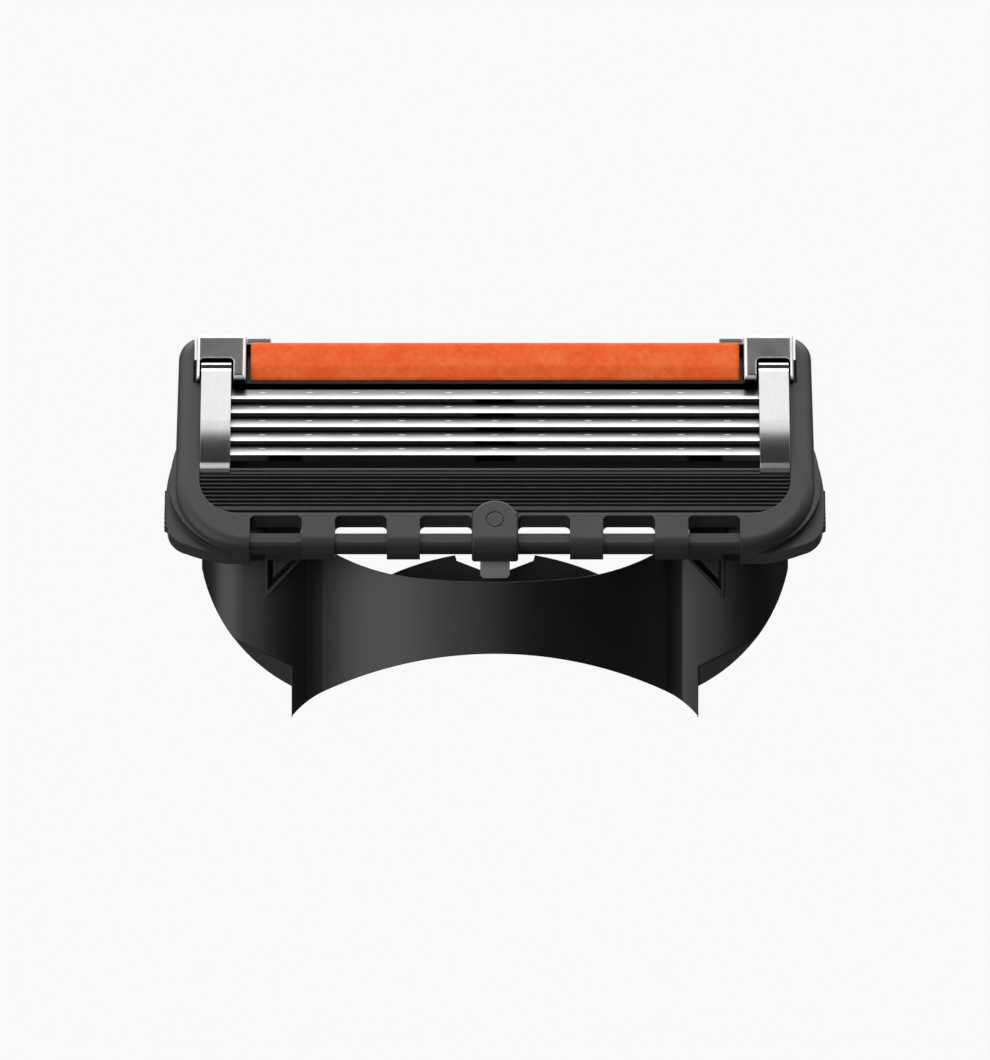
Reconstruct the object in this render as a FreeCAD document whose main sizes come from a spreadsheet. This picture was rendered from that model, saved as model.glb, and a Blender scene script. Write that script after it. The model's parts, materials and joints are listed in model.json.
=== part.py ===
import FreeCAD, Part
import math
import os

import Sketcher

# Five-blade pivoting razor cartridge. Lengths are millimetres, angles degrees.
# Row frame: X along the blades, Y from front to back, Z up the handle's axis; the origin is the middle of
# the handle socket's mouth. The head's pieces are drawn in the face frame: x along the blades, y up the
# shaving plane towards the cap, z out of the plane, with blade 3's edge at the origin.

SIZES = {
    # how far a feature runs into its neighbour, and the working gap round a piece that drops into a slot
    "bond": 0.1, "slip": 0.02,
    # where the shaving plane stands, and the shell bearing's centre in the face frame
    "face_y": -2.5, "face_z": 18.65, "face_turn": 60, "pivot_v": -4.6, "pivot_w": -0.2,
    # blades and their bent supports
    "blade_pitch": 1.05, "blade_lean": 22, "blade_deep": 0.9, "blade_thick": 0.1, "blade_half": 18.2,
    "hone": 0.26, "support_half": 17.9, "support_thick": 0.12, "support_start": 0.35, "leg_near": 0.95,
    "leg_foot": 2.4,
    # housing: platform, cap seat and guard
    "slab_half": 19, "slab_deep": 3, "slab_top": 6.4, "seat_v": 3.35, "seat_deep": 1.1, "guard_v": 6.4,
    "guard_deep": 1.8, "opening_half": 17.2, "opening_low": 2.2, "ledge_half": 18.4, "ledge_deep": 1,
    "recess_v": 3.1, "recess_deep": 1.2, "floor_v": 1.85, "corner_round": 2.5, "end_block_x": 16.6,
    "end_block_v": 4.4, "seat_ear_v": 5.7,
    "bead_v": 3.24, "bead_half": 0.12, "bead_top_half": 0.05, "bead_high": 0.08, "bead_reach": 17,
    # housing: leg slots, spring fingers and the strut under the blades
    "slot_gap": 0.05, "slot_foot": 2.72, "finger_root": 13.9, "finger_wide": 0.35, "finger_low": 3.1,
    "strut_half": 1.3, "strut_low": 3.4, "strut_foot": 0.4, "strut_top": 3.38,
    # housing: comb bar
    "bar_top": 7.76, "bar_deep": 1.03, "bar_front": 0.3, "bar_back": 1.2, "bar_round": 0.4, "bar_half": 17,
    "bar_rib": 0.75,
    # shell bearing
    "block_near": 12.5, "block_far": 14.7, "block_radius": 4.8, "block_low": -130, "block_high": -38,
    "block_step_v": 2.7, "block_back_v": 0.82, "groove_in": 3.4, "groove_out": 4.2, "groove_low": -126,
    "groove_high": -45.5, "groove_floor": 12.6,
    # guard fins
    "fin_base": 0.5, "fin_root": 0.2, "fin_first": 3.64, "fin_pitch": 0.295, "fin_low": 6.35,
    "fin_high": 3.52, "fin_half": 0.09, "crest_half": 0.04, "fin_sunk": 0.02, "lip_near": 5.88,
    "lip_far": 6.24,
    # overmoulded frame: ring and windows
    "rim_half": 20.5, "rim_swell": 0.1, "rim_gap_x": 19.5, "rim_gap_v": 3.3, "rim_deep": 1.5,
    "rim_round": 0.8, "sill_v": 9, "rim_corner": 4.8, "rim_top": 6.96, "rim_shoulder": 5.46,
    "rim_top_round": 1.625,
    "window_top": 6.62, "window_wide": 3.32, "window_first": 3.15, "window_pitch": 5.45,
    "window_round": 0.35,
    # overmoulded frame: boss
    "boss_half": 1.47, "boss_top": 5.6, "boss_proud": 0.3, "boss_hang": 0.15, "boss_round": 0.16,
    "mark_radius": 0.59, "mark_wide": 0.08, "mark_deep": 0.04,
    # overmoulded frame: ridge and bumper round each lower corner, and the bumper's teeth
    "ridge_low": 1.1, "ridge_top": 0.5, "ridge_start_x": 20.5, "ridge_start_v": 1.2, "ridge_side_x": 20.85,
    "ridge_side_v": 5, "ridge_end_x": 17.2, "ridge_end_v": 8.75, "ridge_flank": 9, "ridge_sweep": 5.2,
    "ridge_bury": 0.75,
    "bumper_low": 2.25, "bumper_top": 1, "bumper_start_x": 20.4, "bumper_start_v": 1, "bumper_side_x": 21.08,
    "bumper_side_v": 6.6, "bumper_turn_x": 19.8, "bumper_turn_v": 8.2, "bumper_end_x": 17.2,
    "bumper_end_v": 8.9, "bumper_flank": 11, "bumper_corner": 1.7, "bumper_sweep": 9, "bumper_near_x": 15.3,
    "bumper_inner_v": 7.8,
    "tooth_base": 20.6, "tooth_root": 21.02, "tooth_pitch": 0.32, "tooth_deep": 0.24, "teeth_top": 3.95,
    "teeth_low": 1.95,
    # return pad behind the boss, upright in the row frame
    "pad_half": 0.95, "pad_front": -5, "pad_back": -3.5, "pad_tip": 8.91, "pad_round": 0.3,
    # cap carrier and strip
    "cap_half": 19.3, "cap_inner": 16.1, "cap_top": 6.6, "cap_proud": 0.6, "cap_plate": 0.75,
    "cap_round": 0.3, "notch_x": 16.9, "notch_far": 19.1, "notch_v": 4.85, "wall_v": 6.15,
    "wall_low": 0.45, "lip_v": 3.6,
    "lip_low": 0.2, "shoulder_x": 14.5, "shoulder_high": 0.15, "strip_half": 15.8, "strip_front": 0.12,
    "strip_bevel_v": 4.5, "strip_bevel_high": 0.16, "strip_crown": 0.38, "strip_back": 0.3,
    "strip_edge": 0.08,
    # clips
    "clip_near": 17.05, "clip_far": 18.98, "clip_thick": 0.22, "clip_high": 0.5, "clip_leg_v": 4.72,
    "clip_foot_v": 3.5, "clip_fold": 1.3, "clip_under": 0.03, "clip_bend": 0.36, "clip_lift": 0.03,
    "dip_v": 4.1, "dip_end_v": 3.9, "sweep_v": 0.2, "sweep_radius": 12.5, "sweep_turn": 13.6,
    "inner_bend": 0.25,
    # trimmer
    "trimmer_half": 16, "trimmer_thick": 0.12, "trimmer_low": 3.9, "trimmer_hone": 6.5, "trimmer_edge": 6.75,
    "cover_half": 16.4, "cover_low": 3.4, "cover_deep": 0.9, "cover_step": 0.5, "cover_back": 5.6,
    "cover_high": 6.2, "comb_pitch": 1.1, "comb_half": 0.16, "comb_low": 5.5, "comb_high": 6.9,
    "comb_deep": 0.35,
    # connector: front shell and collar
    "shell_thick": 0.95, "bow_radius": 17.7, "bow_y": 13.06, "bow_turn": -50.09, "valley_radius": 0.5,
    "front_radius": 9, "front_x": 15, "front_y": 8, "front_turn": -110.47, "arm_turn": -81.7,
    "arm_radius": 3.778, "arm_end_turn": -30.77,
    "shell_foot": -0.1, "shell_top": 10.8, "side_far": 12.2, "side_thick": 0.8, "rear_y": 4.4,
    "rear_thick": 0.8, "collar_front": 0, "collar_foot": 0.5, "collar_top": 10.4,
    # connector: its outline from the front
    "arch_z": 0.2, "arch_x": 11, "arch_foot_z": 1.6, "arch_radius": 26, "tip_x": 13.1, "tip_radius": 6,
    "tip_edge": 0.05, "fin_z": 1.9, "arm_x": 19, "arm_z": 9.5, "arm_curve": 11.2,
    "brow_mid_x": 5, "brow_mid_z": 8.9,
    "brow_x": 10.2, "brow_end_z": 10.4, "brow_radius": 50, "brow_end_radius": 14, "brow_flare": 0.3,
    "brow_back": 0.4, "above": 14, "outside_x": 25, "shell_reach": 8, "rear_start": 1.8,
    "hill_foot_x": 12.5, "hill_foot_z": 8.9, "hill_bend_x": 6.8, "hill_bend_z": 9.1, "hill_radius": 18,
    "hill_top_x": 2.6, "hill_top_z": 10.36, "hill_step_z": 10, "saddle_x": 0.95, "saddle_z": 9.4,
    "latch_near": 3.2, "latch_far": 6.4, "latch_low": 6.2, "latch_high": 7.8,
    "facet_x": 13.15, "facet_low": 1.4, "facet_high": 3.2, "facet_end_x": 17.6, "facet_end_z": 4.6,
    "facet_wide": 0.5, "facet_y": -0.55,
    # connector: gussets, cheek plates and bearing tongues
    "gusset_x": 14.8, "gusset_near_x": 12.24, "gusset_foot_z": 7.6, "gusset_top_z": 10.7,
    "gusset_near_z": 10.4, "gusset_front": -1.3, "gusset_back": 0.6, "gusset_rib": 0.12,
    "gusset_rib_foot": 0.48, "gusset_rib_tip": 0.24, "gusset_rib_top": 0.06, "gusset_recess": 0.35,
    "gusset_draft": 42,
    "plate_near": 14.95, "plate_far": 15.85, "plate_in": 3.3, "plate_out": 5.2, "plate_low": -67,
    "plate_high": -25, "plate_front": -0.95, "plate_back": -0.15, "plate_foot": 10, "tongue_near": 12.7,
    "tongue_in": 3.45, "tongue_out": 4.15, "tongue_low": -65, "tongue_high": -27,
}

# Two places closer than this count as one, in mm; a cut must take away at least so much, in mm3.
CLOSE = 0.02
LEAST_CUT = 0.0001

doc = FreeCAD.newDocument("razor_cartridge")
sheet = doc.addObject("Spreadsheet::Sheet", "dims")


class Size:
    """A number together with the spreadsheet expression that gives it."""

    def __init__(self, number, text):
        self.number = number
        self.text = text

    def __add__(self, other):
        other = as_size(other)
        return Size(self.number + other.number, f"({self.text} + {other.text})")

    def __sub__(self, other):
        other = as_size(other)
        return Size(self.number - other.number, f"({self.text} - {other.text})")

    def __mul__(self, other):
        other = as_size(other)
        return Size(self.number * other.number, f"({self.text} * {other.text})")

    def __truediv__(self, other):
        other = as_size(other)
        return Size(self.number / other.number, f"({self.text} / {other.text})")

    def __neg__(self):
        return Size(-self.number, f"(0 - {self.text})")

    def __radd__(self, other):
        return as_size(other) + self

    def __rsub__(self, other):
        return as_size(other) - self

    def __rmul__(self, other):
        return as_size(other) * self


def as_size(item):
    return item if isinstance(item, Size) else Size(float(item), f"({float(item)!r})")


def sine(angle):
    angle = as_size(angle)
    return Size(math.sin(math.radians(angle.number)), f"sin({angle.text})")


def cosine(angle):
    angle = as_size(angle)
    return Size(math.cos(math.radians(angle.number)), f"cos({angle.text})")


class Dims:
    """The spreadsheet's cells, each as a Size."""


dims = Dims()
for row, (alias, number) in enumerate(SIZES.items(), start=1):
    sheet.set(f"A{row}", alias)
    sheet.set(f"B{row}", str(number))
    sheet.setAlias(f"B{row}", alias)
    setattr(dims, alias, Size(float(number), f"dims.{alias}"))
doc.recompute()


# ---------------------------------------------------------------- sketches and features

def new_body(name, in_head):
    body = doc.addObject("PartDesign::Body", name)
    body.Label = name
    if in_head:
        place = FreeCAD.Vector(0, dims.face_y.number, dims.face_z.number)
        turn = FreeCAD.Rotation(FreeCAD.Vector(1, 0, 0), dims.face_turn.number)
        body.Placement = FreeCAD.Placement(place, turn)
        body.setExpression("Placement.Base.y", dims.face_y.text)
        body.setExpression("Placement.Base.z", dims.face_z.text)
        body.setExpression("Placement.Rotation.Angle", dims.face_turn.text)
    return body


def middle_of_arc(start, finish, radius):
    """The point halfway along the short arc, which turns left for a positive radius and else right."""
    chord = finish - start
    half = chord.Length / 2
    rise = abs(radius) - math.sqrt(radius * radius - half * half)
    left = FreeCAD.Vector(-chord.y, chord.x, 0).normalize()
    return (start + finish) * 0.5 - left * math.copysign(rise, radius)


def outline(sketch, points):
    """One closed loop. Each point is (across, up), or (across, up, radius) where an arc leaves it."""
    places = [FreeCAD.Vector(as_size(p[0]).number, as_size(p[1]).number, 0) for p in points]
    ends = []
    for n, point in enumerate(points):
        start = places[n]
        finish = places[(n + 1) % len(points)]
        if len(point) == 2:
            index = sketch.addGeometry(Part.LineSegment(start, finish), False)
            ends.append((index, 1, 2))
            continue
        radius = as_size(point[2])
        middle = middle_of_arc(start, finish, radius.number)
        if radius.number > 0:
            index = sketch.addGeometry(Part.ArcOfCircle(start, middle, finish), False)
            ends.append((index, 1, 2))
            size = radius
        else:
            index = sketch.addGeometry(Part.ArcOfCircle(finish, middle, start), False)
            ends.append((index, 2, 1))
            size = -radius
        number = sketch.addConstraint(Sketcher.Constraint("Radius", index, size.number))
        sketch.setExpression(f"Constraints[{number}]", size.text)
    for n, point in enumerate(points):
        index, first, last = ends[n]
        after = ends[(n + 1) % len(points)]
        sketch.addConstraint(Sketcher.Constraint("Coincident", index, last, after[0], after[1]))
        for kind, item in (("DistanceX", point[0]), ("DistanceY", point[1])):
            size = as_size(item)
            number = sketch.addConstraint(Sketcher.Constraint(kind, -1, 1, index, first, size.number))
            sketch.setExpression(f"Constraints[{number}]", size.text)


def rectangle(left, low, right, high):
    return [(left, low), (right, low), (right, high), (left, high)]


def both_sides(loops):
    """The same loops at +x and -x, for a sketch whose first direction is x."""
    result = list(loops)
    for loop in loops:
        flipped = []
        count = len(loop)
        for n in range(count - 1, -1, -1):
            point = loop[n]
            before = loop[n - 1]
            flipped.append((-as_size(point[0]), point[1]) + tuple(before[2:]))
        result.append(flipped)
    return result


def mirror_path(path):
    """An open path's mirror image at -x, walked the other way so that it can lead into the path itself."""
    flipped = []
    for n in range(len(path) - 1, 0, -1):
        flipped.append((-as_size(path[n][0]), path[n][1]) + tuple(path[n - 1][2:]))
    flipped.append((-as_size(path[0][0]), path[0][1]))
    return flipped


def draw(body, name, plane, loops, place):
    """A sketch of closed loops on one of the body's own planes, moved along the plane's axis to a place."""
    sketch = body.newObject("Sketcher::SketchObject", name)
    origin = [item for item in body.Origin.OriginFeatures if item.Role == f"{plane}_Plane"][0]
    sketch.AttachmentSupport = [(origin, "")]
    sketch.MapMode = "FlatFace"
    place = as_size(place)
    if plane == "XZ":
        place = -place
    sketch.setExpression("AttachmentOffset.Base.z", place.text)
    for loop in loops:
        outline(sketch, loop)
    return sketch


def add(body, name, plane, loops, low, high):
    """Adds material between two places on the axis square to the plane."""
    low = as_size(low)
    high = as_size(high)
    sketch = draw(body, f"{name}_outline", plane, loops, high if plane == "XZ" else low)
    pad = body.newObject("PartDesign::Pad", name)
    pad.Profile = sketch
    pad.setExpression("Length", (high - low).text)
    return pad


def cut(body, name, plane, loops, low, high):
    """Takes material away between two places, and checks that some went."""
    low = as_size(low)
    high = as_size(high)
    doc.recompute()
    before = body.Shape.Volume
    sketch = draw(body, f"{name}_outline", plane, loops, low if plane == "XZ" else high)
    pocket = body.newObject("PartDesign::Pocket", name)
    pocket.Profile = sketch
    pocket.setExpression("Length", (high - low).text)
    doc.recompute()
    if before - body.Shape.Volume < LEAST_CUT:
        print("cut nothing:", body.Label, name)
    return pocket


def round_edges(body, name, radius, wanted):
    """Rounds each edge of the body for which wanted(middle of the edge, edge) holds."""
    doc.recompute()
    tip = body.Tip
    names = []
    for n, edge in enumerate(tip.Shape.Edges, start=1):
        if wanted(edge.valueAt((edge.FirstParameter + edge.LastParameter) / 2), edge):
            names.append(f"Edge{n}")
    fillet = body.newObject("PartDesign::Fillet", name)
    fillet.Base = (tip, names)
    fillet.setExpression("Radius", radius.text)
    doc.recompute()
    if not names or "Invalid" in fillet.State or not fillet.Shape.isValid():
        print("fillet failed:", body.Label, name, len(names), fillet.State)
    return fillet


def near(value, target):
    return abs(value - target) < CLOSE


def polar(radius, angle, middle_across, middle_up):
    return (middle_across + radius * cosine(angle), middle_up + radius * sine(angle))


def in_face(y, z):
    """The face frame's (v, w) of a place given in the row frame."""
    turn = dims.face_turn
    back = as_size(y) - dims.face_y
    rise = as_size(z) - dims.face_z
    return (back * cosine(turn) + rise * sine(turn), rise * cosine(turn) - back * sine(turn))


def height_in_face(y, w):
    """How far up the face a place stands that has this y in the row frame and this w in the face frame."""
    turn = dims.face_turn
    return (as_size(y) - dims.face_y + as_size(w) * sine(turn)) / cosine(turn)


def ring_sector(inner, outer, low, high, middle_across, middle_up):
    start = polar(outer, low, middle_across, middle_up)
    finish = polar(inner, high, middle_across, middle_up)
    return [
        start + (outer,),
        polar(outer, high, middle_across, middle_up),
        finish + (-as_size(inner),),
        polar(inner, low, middle_across, middle_up),
    ]


# ---------------------------------------------------------------- blades

BLADES = 5
MIDDLE_BLADE = 3


def edge_height(number):
    """Height of a blade's edge on the shaving plane; blade 1 is next to the cap."""
    return (MIDDLE_BLADE - number) * dims.blade_pitch


def along_blade(number, along, above):
    """A point in a blade's section: along its depth from the edge, and above its mid-plane."""
    across = edge_height(number) + along * cosine(dims.blade_lean) + above * sine(dims.blade_lean)
    up = as_size(above) * cosine(dims.blade_lean) - along * sine(dims.blade_lean)
    return (across, up)


def make_blade(number):
    body = new_body(f"blade_{number}", True)
    half = dims.blade_thick / 2
    section = [
        along_blade(number, as_size(0), as_size(0)),
        along_blade(number, dims.hone, -half),
        along_blade(number, dims.blade_deep, -half),
        along_blade(number, dims.blade_deep, half),
        along_blade(number, dims.hone, half),
    ]
    add(body, "strip", "YZ", [section], -dims.blade_half, dims.blade_half)
    return body


def make_support(number):
    body = new_body(f"blade_support_{number}", True)
    under = dims.blade_thick / 2
    below = under + dims.support_thick
    tangent = sine(dims.blade_lean) / cosine(dims.blade_lean)
    edge = edge_height(number)
    near_leg = dims.leg_near
    far_leg = dims.leg_near + dims.support_thick
    outer_bend = -(far_leg * tangent + under / cosine(dims.blade_lean))
    inner_bend = -(near_leg * tangent + below / cosine(dims.blade_lean))
    section = [
        along_blade(number, dims.support_start, -under),
        along_blade(number, dims.support_start, -below),
        (edge + near_leg, inner_bend),
        (edge + near_leg, -dims.leg_foot),
        (edge + far_leg, -dims.leg_foot),
        (edge + far_leg, outer_bend),
    ]
    add(body, "bent_strip", "YZ", [section], -dims.support_half, dims.support_half)
    return body


# ---------------------------------------------------------------- housing

def guard_outline(low, high):
    """The guard's outline, its two lower corners rounded."""
    half = dims.slab_half
    corner = dims.corner_round
    return [
        (-half, high),
        (-half, corner - low, corner),
        (corner - half, -low),
        (half - corner, -low, corner),
        (half, corner - low),
        (half, high),
    ]


WINDOWS_A_SIDE = 3


def window_middle(number):
    return dims.window_first + number * dims.window_pitch


def tab_middles():
    """Middles of the bridges beyond each window, on one side of the boss."""
    return [window_middle(n) + dims.window_pitch / 2 for n in range(WINDOWS_A_SIDE)]


def make_housing():
    body = new_body("housing", True)
    half = dims.slab_half
    low = -dims.opening_low
    add(body, "slab", "XY", [rectangle(-half, low, half, dims.seat_v)], -dims.slab_deep, 0)
    add(body, "cap_seat", "XY", [rectangle(-half, dims.seat_v, half, dims.slab_top)], -dims.slab_deep,
        -dims.seat_deep)
    ears = both_sides([rectangle(half, dims.seat_v, dims.rim_gap_x, dims.seat_ear_v)])
    add(body, "seat_ears", "XY", ears, -dims.slab_deep, -dims.seat_deep)
    add(body, "guard", "XY", [guard_outline(dims.guard_v, low)], -dims.guard_deep, 0)
    ends = both_sides([rectangle(dims.end_block_x, -dims.end_block_v, half, low)])
    add(body, "end_blocks", "XY", ends, -dims.slab_deep, -dims.guard_deep)
    opening = rectangle(-dims.opening_half, low, dims.opening_half, dims.seat_v)
    cut(body, "blade_opening", "XY", [opening], -dims.slab_deep, 0)
    ledges = both_sides([rectangle(dims.opening_half, low, dims.ledge_half, dims.seat_v)])
    cut(body, "ledges", "XY", ledges, -dims.ledge_deep, 0)
    cut(body, "leg_slots", "XY", both_sides(leg_slots()), -dims.slot_foot, -dims.ledge_deep)
    add(body, "spring_fingers", "XY", both_sides(spring_fingers()), -dims.finger_low, -dims.slot_foot)
    foot = low - dims.strut_foot
    strut = rectangle(-dims.strut_half, foot, dims.strut_half, dims.strut_top)
    add(body, "strut", "XY", [strut], -dims.strut_low, -dims.slot_foot)
    strut_foot = rectangle(-dims.strut_half, foot, dims.strut_half, low)
    add(body, "strut_foot", "XY", [strut_foot], -dims.slot_foot, -dims.guard_deep)
    recess = rectangle(-dims.opening_half, -dims.recess_v, dims.opening_half, low)
    cut(body, "guard_recess", "XY", [recess], -dims.recess_deep, 0)
    floor = rectangle(-dims.opening_half, low - dims.bond, dims.opening_half, -dims.floor_v)
    add(body, "recess_floor", "XY", [floor], -dims.guard_deep, -dims.recess_deep)
    fin_bed = guard_outline(dims.guard_v, -dims.fin_high)
    cut(body, "fin_bed", "XY", [fin_bed], -dims.fin_base, 0)
    add(body, "guard_bead", "YZ", [bead_section()], -dims.bead_reach, dims.bead_reach)
    cut_clip_slots(body)
    add_comb_bar(body)
    add_bearing_blocks(body)
    return body


def bead_section():
    """Section of the low bead in front of the fins."""
    middle = -dims.bead_v
    return [
        (middle - dims.bead_half, 0),
        (middle + dims.bead_half, 0),
        (middle + dims.bead_top_half, dims.bead_high),
        (middle - dims.bead_top_half, dims.bead_high),
    ]


def cut_clip_slots(body):
    """Each clip's two legs pass through slots, and its front bend sinks into a shallow trough."""
    slip = dims.slip
    inside = dims.clip_near - slip
    outside = dims.slab_half
    rear = rectangle(inside, dims.clip_leg_v - dims.clip_thick - slip, outside, dims.clip_leg_v + slip)
    front = rectangle(inside, -dims.clip_foot_v - slip, outside, dims.clip_thick - dims.clip_foot_v + slip)
    cut(body, "clip_slots", "XY", both_sides([rear, front]), -dims.slab_deep, 0)
    trough = rectangle(inside, dims.clip_thick - dims.clip_foot_v, outside, -dims.opening_low)
    cut(body, "clip_troughs", "XY", both_sides([trough]), -dims.ledge_deep, 0)


def leg_slots():
    loops = []
    for number in range(1, BLADES + 1):
        start = edge_height(number) + dims.leg_near
        loops.append(rectangle(dims.opening_half, start - dims.slot_gap, dims.support_half + dims.bond,
                               start + dims.support_thick + dims.slot_gap))
    return loops


def spring_fingers():
    loops = []
    for number in range(1, BLADES + 1):
        middle = edge_height(number) + dims.leg_near + dims.support_thick / 2
        loops.append(rectangle(dims.finger_root, middle - dims.finger_wide / 2, dims.opening_half,
                               middle + dims.finger_wide / 2))
    return loops


def bar_section():
    """Section of the comb bar, its front corners rounded."""
    top = -dims.bar_top
    low = -dims.bar_top - dims.bar_deep
    edge = dims.bar_round
    return [
        (low, -dims.bar_back),
        (top, -dims.bar_back),
        (top, -dims.bar_front),
        (low + edge, -dims.bar_front, edge),
        (low, -dims.bar_front - edge),
    ]


def bar_ribs():
    """The short ribs that carry the comb bar, one in each bridge and one behind the boss."""
    ribs = []
    for middle in tab_middles():
        ribs.append(rectangle(middle - dims.bar_rib, -dims.bar_top, middle + dims.bar_rib, -dims.guard_v))
    centre = rectangle(-dims.bar_rib, -dims.bar_top, dims.bar_rib, -dims.guard_v)
    return both_sides(ribs) + [centre]


def add_comb_bar(body):
    add(body, "comb_bar", "YZ", [bar_section()], -dims.bar_half, dims.bar_half)
    add(body, "bar_ribs", "XY", bar_ribs(), -dims.bar_back, -dims.bar_front)


def add_bearing_blocks(body):
    middle_v = dims.pivot_v
    middle_w = dims.pivot_w
    under_slab = dims.bond - dims.slab_deep
    under_guard = dims.bond - dims.guard_deep
    block = [
        polar(dims.block_radius, dims.block_low, middle_v, middle_w) + (dims.block_radius,),
        polar(dims.block_radius, dims.block_high, middle_v, middle_w),
        (-dims.block_back_v, under_slab),
        (-dims.block_step_v, under_slab),
        (-dims.block_step_v, under_guard),
        (-dims.guard_v, under_guard),
    ]
    groove = ring_sector(dims.groove_in, dims.groove_out, dims.groove_low, dims.groove_high, middle_v,
                         middle_w)
    for side in (-1, 1):
        name = "left" if side < 0 else "right"
        spans = []
        for near_x in (dims.block_near, dims.groove_floor):
            spans.append((near_x, dims.block_far) if side > 0 else (-dims.block_far, -near_x))
        add(body, f"block_{name}", "YZ", [block], *spans[0])
        cut(body, f"groove_{name}", "YZ", [groove], *spans[1])


def make_return_pad():
    """A soft upright finger behind the boss, which the handle's plunger pushes on."""
    body = new_body("return_pad", True)
    section = [
        in_face(dims.pad_front, dims.pad_tip),
        in_face(dims.pad_back, dims.pad_tip),
        (height_in_face(dims.pad_back, -dims.guard_deep), -dims.guard_deep),
        (-dims.guard_v, -dims.guard_deep),
        (-dims.guard_v, -dims.rim_deep),
        (height_in_face(dims.pad_front, -dims.rim_deep), -dims.rim_deep),
    ]
    add(body, "finger", "YZ", [section], -dims.pad_half, dims.pad_half)
    tip = in_face((dims.pad_front + dims.pad_back) / 2, dims.pad_tip)

    def beside_tip(point, edge):
        on_side = near(abs(point.x), dims.pad_half.number)
        return on_side and near(point.y, tip[0].number) and near(point.z, tip[1].number)

    round_edges(body, "soft_tip", dims.pad_round, beside_tip)
    return body


# ---------------------------------------------------------------- guard fins

FINS = 8
TEETH = 9
COMB_SIDE = 14


def make_guard_fins():
    body = new_body("guard_fins", True)
    section = [
        (-dims.fin_low, -dims.fin_base),
        (-dims.fin_high, -dims.fin_base),
        (-dims.fin_high, -dims.fin_root),
    ]
    for n in range(FINS):
        crest = -dims.fin_first - n * dims.fin_pitch
        section.append((crest + dims.fin_half, -dims.fin_root))
        section.append((crest + dims.crest_half, -dims.fin_sunk))
        section.append((crest - dims.crest_half, -dims.fin_sunk))
        section.append((crest - dims.fin_half, -dims.fin_root))
    section.append((-dims.lip_near, -dims.fin_root))
    section.append((-dims.lip_near - dims.crest_half, -dims.fin_sunk))
    section.append((dims.crest_half - dims.lip_far, -dims.fin_sunk))
    section.append((-dims.lip_far, -dims.fin_root))
    section.append((-dims.fin_low, -dims.fin_root))
    half = dims.slab_half
    add(body, "ridges", "YZ", [section], -half, half)
    corner = dims.corner_round
    outside = [
        (half - corner, -dims.guard_v, corner),
        (half, corner - dims.guard_v),
        (half + dims.bond, corner - dims.guard_v),
        (half + dims.bond, -dims.guard_v - dims.bond),
        (half - corner, -dims.guard_v - dims.bond),
    ]
    cut(body, "corners", "XY", both_sides([outside]), -dims.fin_base, 0)
    return body


# ---------------------------------------------------------------- overmoulded frame

def rim_outline():
    """The frame's ring: open at the cap, closed round the guard."""
    half = dims.slab_half
    corner = dims.corner_round
    sweep = dims.rim_corner
    rim = dims.rim_half + dims.rim_swell
    right_up = [
        (half - corner, -dims.guard_v, corner),
        (half, corner - dims.guard_v),
        (half, dims.rim_gap_v),
        (dims.rim_gap_x, dims.rim_gap_v),
    ]
    left_down = [
        (-dims.rim_gap_x, dims.rim_gap_v),
        (-half, dims.rim_gap_v),
        (-half, corner - dims.guard_v, corner),
        (corner - half, -dims.guard_v),
    ]
    top = dims.rim_top
    shoulder = dims.rim_shoulder
    right_down = [
        (dims.rim_gap_x, top, -dims.rim_top_round),
        (dims.rim_half, shoulder),
        (rim, sweep - dims.sill_v, -sweep),
        (rim - sweep, -dims.sill_v),
    ]
    left_up = [
        (sweep - rim, -dims.sill_v, -sweep),
        (-rim, sweep - dims.sill_v),
        (-dims.rim_half, shoulder, -dims.rim_top_round),
        (-dims.rim_gap_x, top),
    ]
    return right_up + right_down + left_up + left_down


def make_frame():
    body = new_body("frame_overmould", True)
    add(body, "ring", "XY", [rim_outline()], -dims.rim_deep, 0)

    def on_outer_top(point, edge):
        beyond_gap = abs(point.x) > dims.rim_gap_x.number + dims.bond.number / 2
        along_sill = point.y < dims.rim_round.number + dims.bond.number - dims.sill_v.number
        return near(point.z, 0) and (beyond_gap or along_sill)

    round_edges(body, "soft_rim", dims.rim_round, on_outer_top)
    add_wings(body)
    add_boss(body)
    windows = []
    for number in range(WINDOWS_A_SIDE):
        windows.append(window_loop(window_middle(number)))
    cut(body, "windows", "XY", both_sides(windows), -dims.slab_deep, dims.boss_proud)
    cut(body, "bar_channel", "YZ", [bar_section()], -dims.bar_half, dims.bar_half)
    cut(body, "rib_channels", "XY", bar_ribs(), -dims.bar_back, -dims.bar_front)
    return body


def window_loop(middle):
    half = dims.window_wide / 2
    bend = dims.window_round
    top = -dims.window_top
    foot = -dims.sill_v - dims.bond
    return [
        (middle - half, foot),
        (middle + half, foot),
        (middle + half, top - bend, bend),
        (middle + half - bend, top),
        (middle - half + bend, top, bend),
        (middle - half, top - bend),
    ]


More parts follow.
